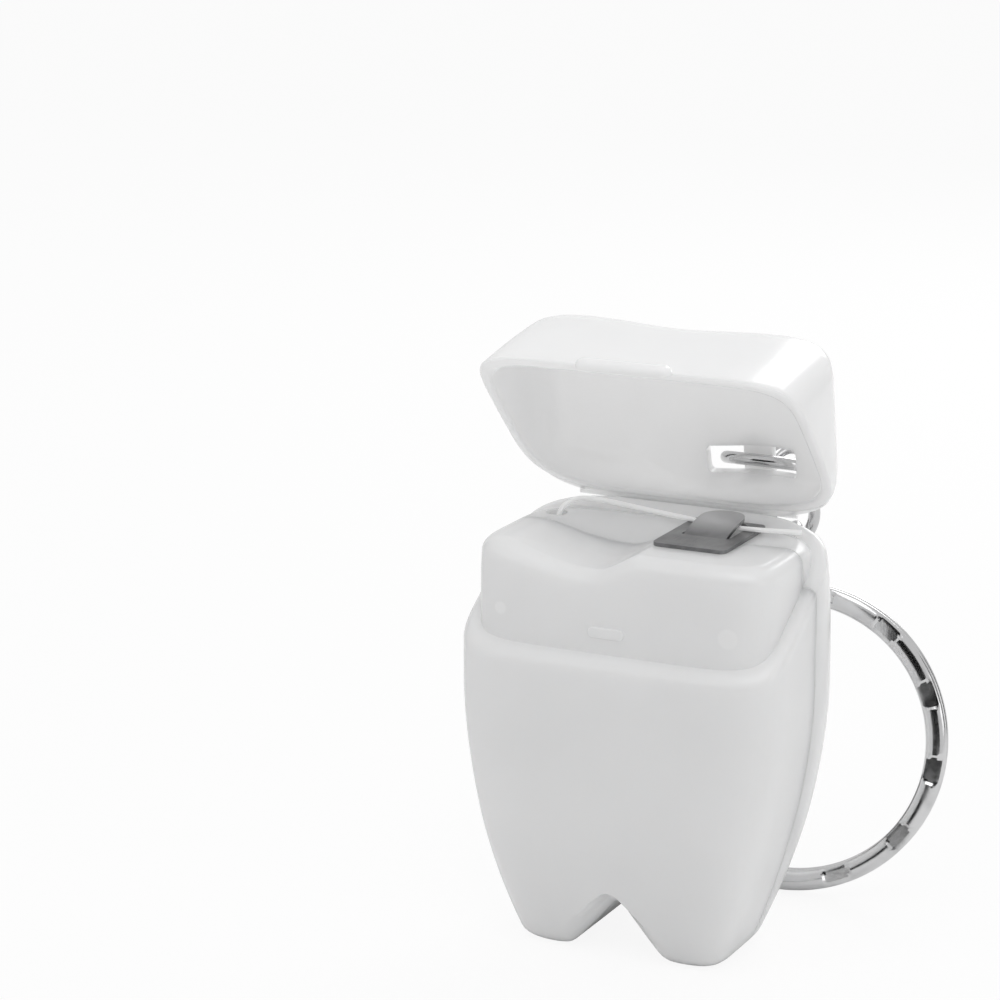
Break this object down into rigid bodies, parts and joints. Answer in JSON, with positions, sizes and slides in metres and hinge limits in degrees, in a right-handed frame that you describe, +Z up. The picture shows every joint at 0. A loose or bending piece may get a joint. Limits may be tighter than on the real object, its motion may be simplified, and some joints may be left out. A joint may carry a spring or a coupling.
{
  "type": "dental floss dispenser",
  "caption": "Tooth-shaped pocket dental floss dispenser with a hinged crown lid, a steel cutter on the deck, a floss spool inside and a key ring on a short chain.",
  "frame": {"origin": "middle of the plane on which the two root tips stand", "axes": "+Z up from the root tips to the crown, -Y out of the front, +X to the right seen from the front"},
  "size_m": [0.0381, 0.0322, 0.0572],
  "materials": {
    "shell_plastic": "moulded white polypropylene, smooth and fairly glossy",
    "lid_plastic": "thin moulded white polypropylene, smooth, lets a little light through",
    "cutter_steel": "stamped spring steel with a fine grain",
    "spool_plastic": "plain white polypropylene",
    "waxed_floss": "flat waxed filament floss",
    "plated_wire": "nickel-plated round steel wire",
    "ring_steel": "nickel-plated flat spring wire with worn flats"
  },
  "bodies": {
    "base": {"front_shell": "shell_plastic", "rear_cover": "shell_plastic", "hinge_web": "lid_plastic", "cutter": "cutter_steel", "floss_strand": "waxed_floss"},
    "spool": {"floss_spool": "spool_plastic", "floss_winding": "waxed_floss"},
    "lid": {"lid": "lid_plastic"},
    "jump_ring": {"jump_ring": "plated_wire"},
    "upper_link": {"connector_link_upper": "plated_wire"},
    "lower_link": {"connector_link_lower": "plated_wire"},
    "split_ring": {"split_ring": "ring_steel"}
  },
  "joints": [
    {"name": "lid_hinge", "type": "hinge", "parent": "base", "child": "lid", "pos_m": [0, 0.00789, 0.0398], "axis": [-1, 0, 0], "range_deg": [-79, 2]},
    {"name": "spool_spin", "type": "hinge", "parent": "base", "child": "spool", "pos_m": [0, 0, 0.0184], "axis": [0, 1, 0], "continuous": true},
    {"name": "jump_ring_swing", "type": "hinge", "parent": "lid", "child": "jump_ring", "pos_m": [0.0061, 0.00907, 0.04431], "axis": [1, 0, 0], "range_deg": [-1, 53]},
    {"name": "upper_link_swing", "type": "hinge", "parent": "jump_ring", "child": "upper_link", "pos_m": [0.0061, 0.01694, 0.0422], "axis": [1, 0, 0], "range_deg": [0, 60]},
    {"name": "lower_link_swing", "type": "hinge", "parent": "upper_link", "child": "lower_link", "pos_m": [0.00655, 0.01936, 0.03399], "axis": [0.4993, 0.8232, 0.2702], "range_deg": [-2, 40]},
    {"name": "split_ring_swing", "type": "hinge", "parent": "lower_link", "child": "split_ring", "pos_m": [0.00694, 0.01951, 0.02674], "axis": [-0.4993, 0.8664, -0.0103], "range_deg": [-30, 0]}
  ]
}
